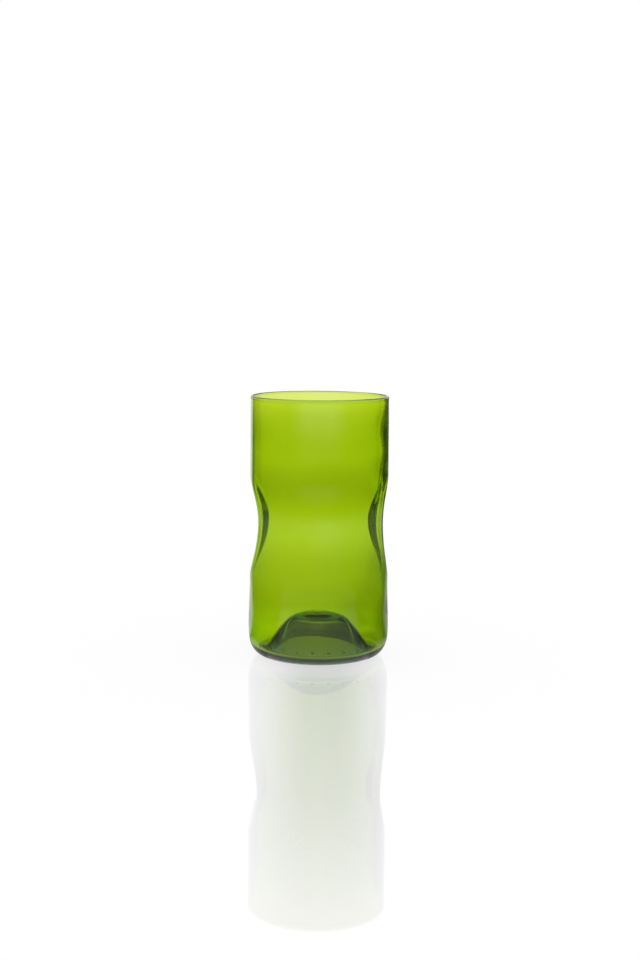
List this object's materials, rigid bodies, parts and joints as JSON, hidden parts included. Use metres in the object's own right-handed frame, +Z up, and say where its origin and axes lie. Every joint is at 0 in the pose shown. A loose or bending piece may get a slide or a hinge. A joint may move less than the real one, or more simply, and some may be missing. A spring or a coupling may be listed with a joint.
{
  "type": "tall tumbler",
  "caption": "Tall straight-sided green glass tumbler cut from a wine bottle, with a melted rim, a squeezed grip dent on each side and a domed base.",
  "frame": {"origin": "centre of the base, on the surface that the tumbler stands on", "axes": "+Z up along the glass; the two dents face along -X and +X, and the pictured front faces -Y"},
  "size_m": [0.076, 0.076, 0.141],
  "materials": {
    "green_glass": "clear yellow-green bottle glass, glossy, fire-polished at the rim"
  },
  "bodies": {
    "root": {"tumbler_glass": "green_glass"}
  },
  "joints": []
}
